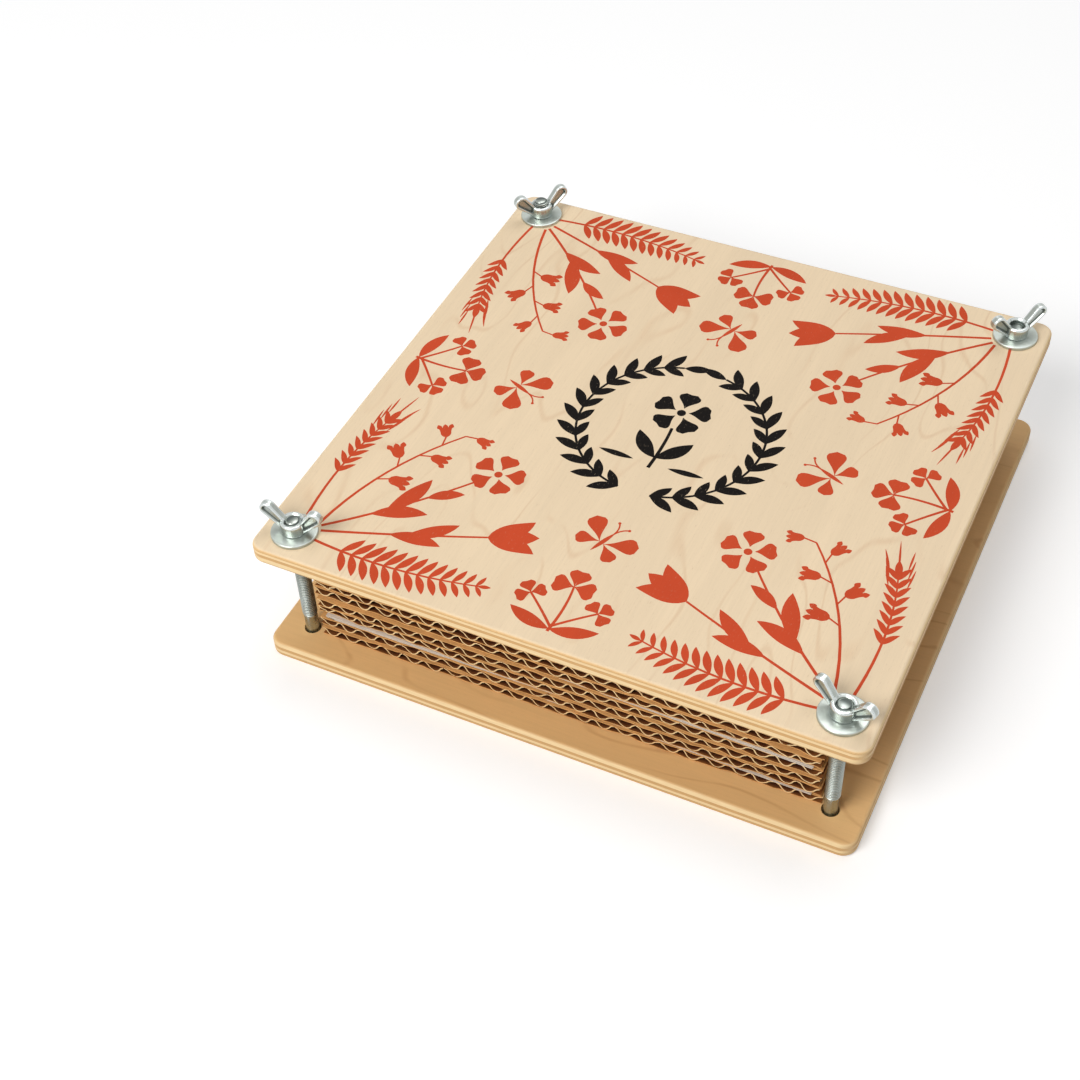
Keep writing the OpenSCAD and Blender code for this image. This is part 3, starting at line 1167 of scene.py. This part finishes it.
def laurel_wreath(art):
    """Two curved sprigs round a small flower, with a short rule on each side."""
    radius = 31
    for side in (-1, 1):
        art.turn = Matrix.Diagonal((side, 1))
        for index in range(12):
            low = -80 + 13 * index
            spot = [toward(a, radius) for a in (low, low + 6.5, low + 13)]
            art.stem((spot[0], spot[1] * 1.005, spot[2]), 0.9, 0.8)
            art.leaf(spot[0], low + 56, 10, 3.4, 0.1)
            art.leaf(spot[0], low + 128, 8, 3, -0.1)
        art.leaf(toward(76, radius), 166, 9.5, 3.4)
        art.leaf((0, -14), 48, 14, 5, -0.12)
        art.leaf((6, -17), 2, 12, 2.2)
    art.stem(((0, -19), (0.9, -8), (0, 1)), 1.2, 1.0)
    art.blossom((0, 9), 90, 10)


def floor_finish(tint):
    """Matt pale paint that also glows where it is seen, so that it meets the white; near the
    press the glow is dimmer, which paints shade round it.
    """
    pale = Finish("floor_paint", Specular_IOR_Level=0.0, Roughness=1.0, Emission_Strength=1.0)
    mottle = pale.grain(0.004, detail=2)
    pale.feed("Base Color", pale.mix(mottle, shade(tint, 0.995), shade(tint, 1.005)))
    path = pale.node("ShaderNodeLightPath").outputs
    seen = Signal(pale, path["Is Camera Ray"]).largest(Signal(pale, path["Is Glossy Ray"]))
    metre = 1 / MM
    # The glow is dimmer near the press, rising from 0.35 m to 1.3 m away, which paints shade on
    # the floor round it
    far = (pale.x * pale.x + pale.y * pale.y).rise((0.35 * metre) ** 2, (1.3 * metre) ** 2)
    glow = pale.mix(far, (0.3, 0.3, 0.3, 1), (0.95, 0.95, 0.95, 1))
    pale.feed("Emission Color", pale.mix(seen, (0, 0, 0, 1), glow))
    return pale.material


def studio_world():
    """White where it is seen, straight or in a reflection, and a dim dome elsewhere."""
    world = bpy.data.worlds.new("studio")
    world.use_nodes = True
    tree = world.node_tree
    tree.nodes.clear()
    path = add_node(tree, "ShaderNodeLightPath").outputs
    seen = path["Is Camera Ray"]
    for ray in ("Is Glossy Ray", "Is Transmission Ray"):
        largest = add_node(
            tree, "ShaderNodeMath", {"operation": "MAXIMUM"}, {0: seen, 1: path[ray]}
        )
        seen = largest.outputs[0]
    dome, white = (
        add_node(
            tree,
            "ShaderNodeBackground",
            sockets={"Color": (1, 1, 1, 1), "Strength": strength},
        ).outputs[0]
        for strength in (0.16, 1.0)
    )
    blend = add_node(tree, "ShaderNodeMixShader", sockets={0: seen, 1: dome, 2: white})
    add_node(tree, "ShaderNodeOutputWorld", sockets={"Surface": blend.outputs[0]})
    return world


def studio_lamp(name, spot, size, watts):
    """A soft round light that looks at the press."""
    light = bpy.data.lights.new(name, "AREA")
    light.shape = "DISK"
    light.size = size
    light.energy = watts
    lamp = bpy.data.objects.new(name, light)
    lamp.location = spot
    lamp.rotation_mode = "QUATERNION"
    lamp.rotation_quaternion = (-Vector(spot)).to_track_quat("-Z", "Y")
    return lamp


def photo_camera():
    """The camera of the photo, with its place and its own axes as solved from it."""
    lens = bpy.data.cameras.new("camera")
    lens.sensor_width = 36
    lens.lens = 59.83
    lens.clip_start = 0.01
    camera = bpy.data.objects.new("camera", lens)
    place = Matrix.Translation((0.15998, -0.39909, 0.44801))
    right = Vector((0.901657, 0.430847, -0.037211))
    up = Vector((-0.288044, 0.662523, 0.691443))
    back = Vector((0.322559, -0.612726, 0.721472))
    camera.matrix_world = place @ Matrix((right, up, back)).transposed().to_4x4()
    return camera


class PressOperator:
    """What every builder of a piece shares."""

    bl_options = {"REGISTER", "UNDO"}

    def execute(self, context):
        self.build(context.scene.press_sizes, context.scene.press_colours)
        return {"FINISHED"}


class PRESS_OT_boards(PressOperator, bpy.types.Operator):
    """Gives both plywood boards their grain, plies and pores"""

    bl_idname = "press.boards"
    bl_label = "Finish the boards"

    def build(self, _sizes, tints):
        plies = (tints.light_ply, tints.dark_ply)
        looks = {
            "bottom_board": dict(
                veneer=tints.bottom_veneer,
                glue_lines=(0.75, 1.9, 3.15, 4.4),
                along_x=True,
                streaks=43,
                figured=0.4,
            ),
            "top_board": dict(
                veneer=tints.top_veneer,
                glue_lines=(1.1, 2.8, 3.95, 5.0),
                along_x=False,
                streaks=118,
                figured=0.2,
            ),
        }
        for node, look in looks.items():
            wood = plywood(f"{node}_plywood", plies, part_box(node)[0].z, **look)
            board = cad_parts[node]
            board.data.materials.clear()
            board.data.materials.append(wood)


class PRESS_OT_print(PressOperator, bpy.types.Operator):
    """Prints a red border of garden plants and a black wreath on the top board"""

    bl_idname = "press.print"
    bl_label = "Print the top board"

    def build(self, sizes, tints):
        turns = [about_z(angle) for angle in (0, 90, 180, 270)]
        swap = Matrix(((0, 1, 0, 0), (1, 0, 0, 0), (0, 0, 1, 0), (0, 0, 0, 1)))
        corner = Matrix.Translation((-PRINT_REACH, -PRINT_REACH, 0))
        corners = [
            turn @ corner @ (swap if index % 2 else Matrix()) for index, turn in enumerate(turns)
        ]
        sides = [turn @ Matrix.Translation((0, -PRINT_REACH, 0)) for turn in turns]
        for name, designs, tint in (
            ("red_border", ((corner_spray, corners), (side_posy, sides)), tints.red_ink),
            ("black_wreath", ((laurel_wreath, turns[:1]),), tints.black_ink),
        ):
            bm = bmesh.new()
            for draw, places in designs:
                art = Print()
                draw(art)
                motifs = art.solid(sizes.ink / MM)
                for place in places:
                    mesh = motifs.data.copy()
                    mesh.transform(place)
                    bm.from_mesh(mesh)
                    bpy.data.meshes.remove(mesh)
                discarded(motifs)
            bmesh.ops.recalc_face_normals(bm, faces=bm.faces)
            ink = printed_ink(f"{name}_ink", tint, shade(tints.top_veneer, 0.85))
            piece = finished_piece(name, bm, [ink])
            piece.data.transform(Matrix.Translation((0, 0, LID_TOP)) @ Matrix.Scale(MM, 4))
            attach(piece, "lid")


class PRESS_OT_bolts(PressOperator, bpy.types.Operator):
    """Makes the four bolts with a cut thread and a slotted head"""

    bl_idname = "press.bolts"
    bl_label = "Make the bolts"

    def build(self, sizes, tints):
        tint = shade(tints.zinc, 0.85)
        zinc = bright_zinc("bolt_zinc", tint, (1.0, 1.0, 6.0), 0.01, 0.2, hollows=True)
        for corner in CORNERS:
            node = f"bolt_{corner}"
            low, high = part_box(node)
            shape = threaded_bolt(sizes, low.z, high.z)
            bolt = finished_piece(f"{corner}_bolt", shape, [zinc], 40)
            combined(bolt, slot_cutter(sizes, low.z))
            set_on_axis(bolt, node, 0, "base")


class PRESS_OT_washers(PressOperator, bpy.types.Operator):
    """Makes the four punched washers"""

    bl_idname = "press.washers"
    bl_label = "Make the washers"

    def build(self, sizes, tints):
        zinc = bright_zinc("washer_zinc", tints.zinc, (0.3, 7.0, 3.0), 0.008, 0.3)
        for corner in CORNERS:
            node = f"washer_{corner}"
            low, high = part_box(node)
            shape = washer_shape(sizes, high.z, high.z - low.z)
            washer = finished_piece(f"{corner}_washer", shape, [zinc], 60)
            set_on_axis(washer, node, 0, "lid")


class PRESS_OT_wing_nuts(PressOperator, bpy.types.Operator):
    """Makes the four wing nuts with hollow wings"""

    bl_idname = "press.wing_nuts"
    bl_label = "Make the wing nuts"

    def build(self, sizes, tints):
        tint = shade(tints.zinc, 0.85)
        zinc = bright_zinc("nut_zinc", tint, (2.5, 2.5, 2.5), 0.012, 0.18, hollows=True)
        blank = wing_nut_shape(sizes)
        for corner, turn in CORNERS.items():
            node = f"wing_nut_{corner}"
            bm = bmesh.new()
            bm.from_mesh(blank.data)
            nut = finished_piece(f"{corner}_wing_nut", bm, [zinc], 40)
            nut.data.transform(about_z(turn))
            set_on_axis(nut, node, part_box(node)[0].z, node)
        discarded(blank)


class PRESS_OT_cards(PressOperator, bpy.types.Operator):
    """Makes the corrugated cards with worn cut ends"""

    bl_idname = "press.cards"
    bl_label = "Make the cards"

    def build(self, sizes, tints):
        finishes = (
            kraft("card_face", tints.card_face, (0.7, 1.6, 1.6), sizes.flute_pitch / MM),
            kraft("card_cut", tints.card_cut, (2.4, 2.4, 5.0)),
            kraft("card_inside", tints.flute, (1.0, 1.4, 1.4), painted_shade=True),
            kraft("liner_cut", tints.liner_cut, (1.6, 2.4, 5.0)),
        )
        names = ("corrugated_card", "card", "cardboard")
        lay_sheets(*names, CARD_SKEWS, finishes, card_shape, sizes)


class PRESS_OT_papers(PressOperator, bpy.types.Operator):
    """Makes the blotting papers between the cards"""

    bl_idname = "press.papers"
    bl_label = "Make the papers"

    def build(self, sizes, tints):
        finishes = (
            blotting("paper_face", tints.paper, (1.5, 1.5, 4.0)),
            blotting("paper_cut", tints.paper, (2.0, 2.0, 7.0)),
        )
        names = ("blotting_paper", "paper", "blotting_paper")
        lay_sheets(*names, PAPER_SKEWS, finishes, paper_shape, sizes)


class PRESS_OT_stage(PressOperator, bpy.types.Operator):
    """Sets up the pale floor, the soft studio light and the camera"""

    bl_idname = "press.stage"
    bl_label = "Set the stage"

    def build(self, _sizes, tints):
        scene = bpy.context.scene
        bm = bmesh.new()
        bmesh.ops.create_grid(bm, x_segments=1, y_segments=1, size=6)
        floor = finished_piece("floor", bm, [floor_finish(tints.floor)])
        scene.world = studio_world()
        camera = photo_camera()
        for item in (
            studio_lamp("key_light", (-0.42, -1.22, 1.22), 1.0, 21),
            studio_lamp("top_light", (0.06, 0.48, 1.45), 1.2, 8.5),
            camera,
        ):
            scene.collection.objects.link(item)
        scene.camera = camera
        scene.view_settings.view_transform = "Standard"


OPERATORS = (
    PRESS_OT_stage,
    PRESS_OT_boards,
    PRESS_OT_print,
    PRESS_OT_bolts,
    PRESS_OT_washers,
    PRESS_OT_wing_nuts,
    PRESS_OT_cards,
    PRESS_OT_papers,
)


class PRESS_PT_panel(bpy.types.Panel):
    """Lists the pieces of the flower press"""

    bl_idname = "PRESS_PT_panel"
    bl_label = "Flower press"
    bl_space_type = "VIEW_3D"
    bl_region_type = "UI"
    bl_category = "Flower press"

    def draw(self, context):
        for operator in OPERATORS:
            self.layout.operator(operator.bl_idname)
        for group in (context.scene.press_sizes, context.scene.press_colours):
            box = self.layout.box()
            for name in group.__annotations__:
                box.prop(group, name)


CLASSES = (PressSizes, PressColours, *OPERATORS, PRESS_PT_panel)


def register():
    for item in CLASSES:
        bpy.utils.register_class(item)
    bpy.types.Scene.press_sizes = PointerProperty(type=PressSizes)
    bpy.types.Scene.press_colours = PointerProperty(type=PressColours)


def unregister():
    del bpy.types.Scene.press_colours
    del bpy.types.Scene.press_sizes
    for item in reversed(CLASSES):
        bpy.utils.unregister_class(item)


def main():
    register()
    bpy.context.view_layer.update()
    for operator in OPERATORS:
        group, name = operator.bl_idname.split(".")
        getattr(getattr(bpy.ops, group), name)()


if __name__ == "__main__":
    main()
